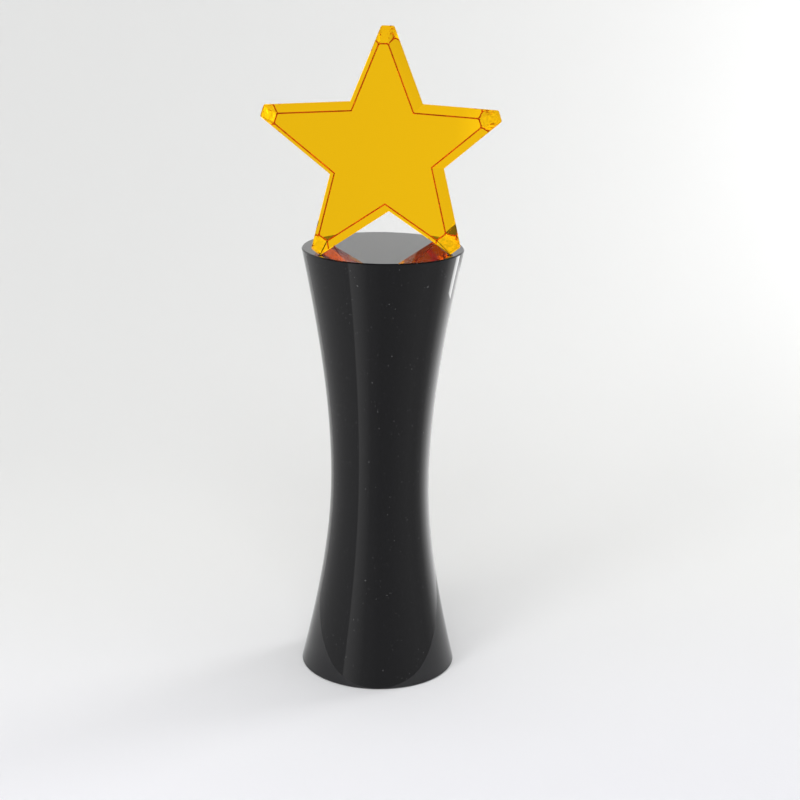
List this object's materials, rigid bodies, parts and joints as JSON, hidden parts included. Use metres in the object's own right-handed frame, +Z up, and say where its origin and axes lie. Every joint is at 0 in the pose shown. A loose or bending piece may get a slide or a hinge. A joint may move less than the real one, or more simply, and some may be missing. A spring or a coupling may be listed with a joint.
{
  "type": "star trophy",
  "caption": "Award trophy: a tapered amber crystal star, leaning slightly back on its lower arms, bonded to the flat top of a waisted round column of black crystal.",
  "frame": {"origin": "centre of the column's underside, where the trophy stands", "axes": "+Z up along the column's axis, -Y towards the front (the star's larger face looks along -Y), +X to the viewer's right"},
  "size_m": [0.1052, 0.0728, 0.2971],
  "materials": {
    "black_crystal": "solid black optical crystal, polished to a mirror gloss",
    "amber_crystal": "clear amber optical crystal with polished facets and fine ground arrises",
    "clear_adhesive": "clear cured glass adhesive, thin film"
  },
  "bodies": {
    "root": {"column": "black_crystal", "crystal_star": "amber_crystal", "foot_bond_left": "clear_adhesive", "foot_bond_right": "clear_adhesive"}
  },
  "joints": []
}
